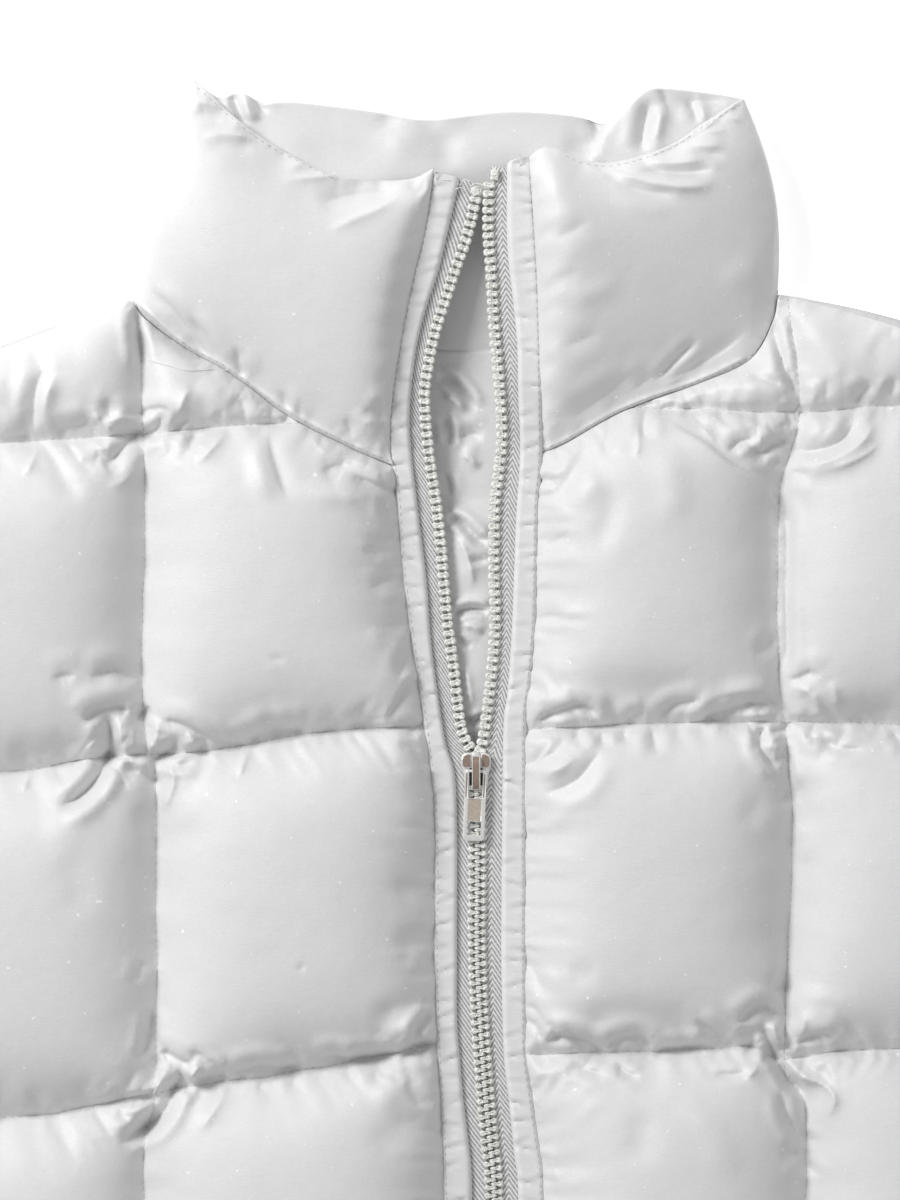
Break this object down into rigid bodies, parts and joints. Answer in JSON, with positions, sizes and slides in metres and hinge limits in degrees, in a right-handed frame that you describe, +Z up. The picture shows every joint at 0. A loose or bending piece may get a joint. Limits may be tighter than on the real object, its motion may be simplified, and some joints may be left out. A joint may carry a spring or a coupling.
{
  "type": "quilted bomber jacket",
  "caption": "Pale quilted, down-filled bomber jacket with a tall padded collar and a half-open front zip, laid flat on its back.",
  "frame": {"origin": "on the surface, under the middle of the laid-out jacket's bounding box", "axes": "+Z up, +Y from the hem to the collar, +X to image right, the wearer's left"},
  "size_m": [1.063, 0.72, 0.0416],
  "materials": {
    "shell_fabric": "pale silver-white nylon satin with a soft sheen, box quilted over down",
    "tape_fabric": "light grey herringbone woven zip tape",
    "tooth_plastic": "off-white moulded zip teeth with a faint gloss",
    "zip_metal": "silver-white plated zip slider and tab with warm beige recesses",
    "thread": "light grey sewing thread"
  },
  "bodies": {
    "jacket": {"front_left": "shell_fabric", "front_right": "shell_fabric", "back": "shell_fabric", "collar": "shell_fabric", "sleeve_left": "shell_fabric", "sleeve_right": "shell_fabric", "cuff_left": "shell_fabric", "cuff_right": "shell_fabric", "hem_left": "shell_fabric", "hem_right": "shell_fabric", "hem_back": "shell_fabric", "band_left": "shell_fabric", "band_right": "shell_fabric", "zip_tape_left": "tape_fabric", "zip_tape_right": "tape_fabric", "slider": "zip_metal"},
    "tab": {"pull_tab": "zip_metal"}
  },
  "joints": [
    {"name": "tab_swing", "type": "hinge", "parent": "jacket", "child": "tab", "pos_m": [0.0058, 0.1105, 0.01915], "axis": [-1, 0, 0], "range_deg": [0, 150]}
  ]
}
